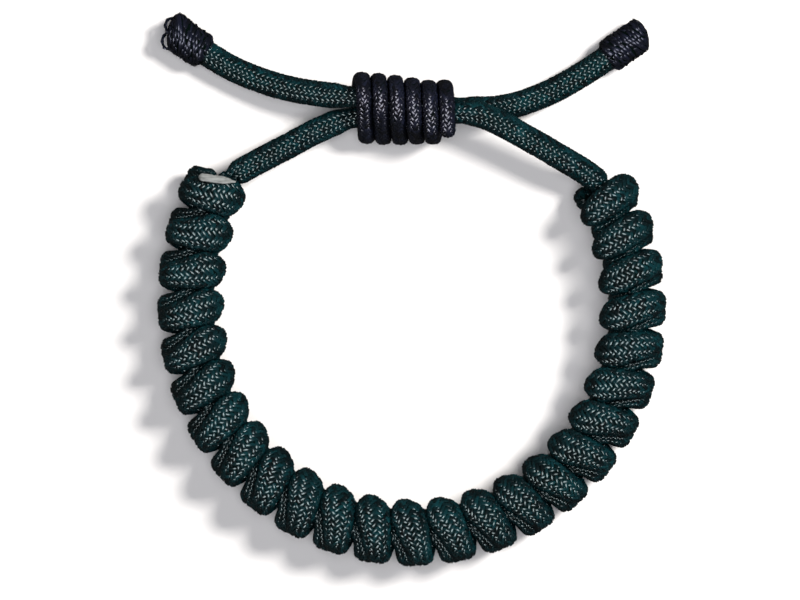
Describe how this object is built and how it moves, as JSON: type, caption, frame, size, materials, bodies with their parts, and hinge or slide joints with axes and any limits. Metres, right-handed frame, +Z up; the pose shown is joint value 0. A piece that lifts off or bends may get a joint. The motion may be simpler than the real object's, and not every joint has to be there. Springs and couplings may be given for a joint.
{
  "type": "rope bracelet",
  "caption": "Dark green braided cord bracelet of snake knots with an adjustable sliding knot in black cord.",
  "frame": {"origin": "on the table, below the middle of the box round the knotted band and the sliding knot, without the plain cords and their ends", "axes": "+Z up through the wrist opening, +Y from the band's far side towards the sliding knot, +X to the right with the sliding knot at the top"},
  "size_m": [0.0782, 0.0848, 0.0117],
  "materials": {
    "green_cord": "braided nylon",
    "black_cord": "braided nylon",
    "black_thread": "waxed thread",
    "melted_nylon": "melted and pressed flat"
  },
  "bodies": {
    "root": {"upper_strand": "green_cord", "lower_strand": "green_cord", "closing_cord_left": "green_cord", "closing_cord_right": "green_cord", "sliding_knot": "black_cord", "left_end_whipping": "black_thread", "right_end_whipping": "black_thread", "seared_end": "melted_nylon"}
  },
  "joints": []
}
